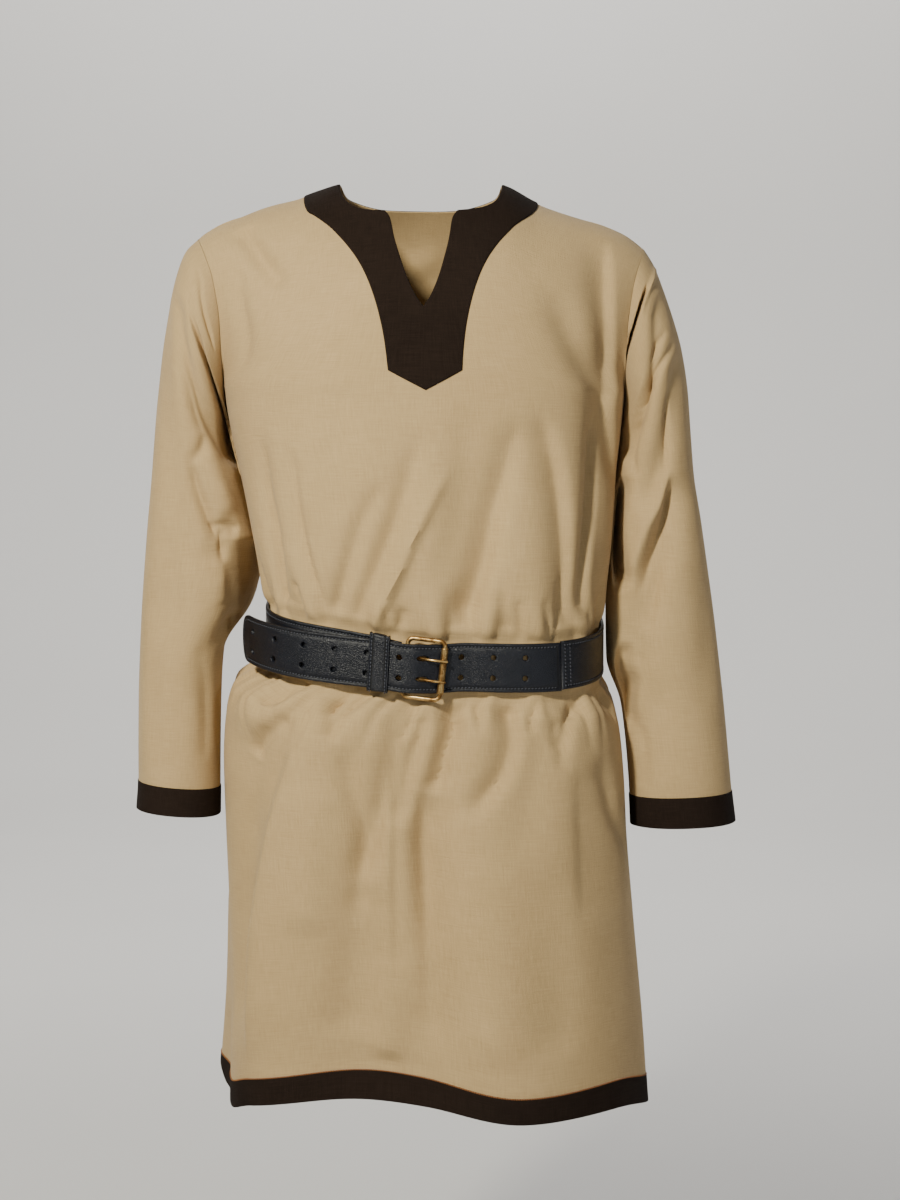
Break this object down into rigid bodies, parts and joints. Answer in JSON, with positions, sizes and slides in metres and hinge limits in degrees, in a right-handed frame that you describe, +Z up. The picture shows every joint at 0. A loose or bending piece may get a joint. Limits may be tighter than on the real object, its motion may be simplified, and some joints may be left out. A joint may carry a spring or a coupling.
{
  "type": "belted long-sleeve tunic",
  "caption": "Hip-length medieval-style tunic with long sleeves, a slit neck with a dark facing, dark cuff and hem bands, and a black leather belt with a brass double-prong buckle",
  "frame": {"origin": "between the two shoulder points at the neck, where the wearer's shoulders carry the tunic", "axes": "+Z up, +X towards the wearer's left, the front of the tunic faces -Y"},
  "size_m": [0.6415, 0.3158, 0.9816],
  "materials": {
    "tan_cotton": "matte khaki cotton in a fine plain weave",
    "brown_cotton": "matte very dark brown cotton",
    "black_leather": "blue-black leather with a soft sheen and stitched edges",
    "antique_brass": "antique brass, worn bright along its edges"
  },
  "bodies": {
    "root": {"front": "tan_cotton", "back": "tan_cotton", "sleeve_right": "tan_cotton", "sleeve_left": "tan_cotton", "neck_facing_front": "brown_cotton", "neck_facing_back": "brown_cotton", "cuff_band_right": "brown_cotton", "cuff_band_left": "brown_cotton", "hem_band_front": "brown_cotton", "hem_band_back": "brown_cotton", "belt_strap": "black_leather", "belt_tongue": "black_leather", "belt_keeper": "black_leather", "buckle_frame": "antique_brass", "buckle_roller": "antique_brass", "buckle_prong_upper": "antique_brass", "buckle_prong_lower": "antique_brass"}
  },
  "joints": []
}
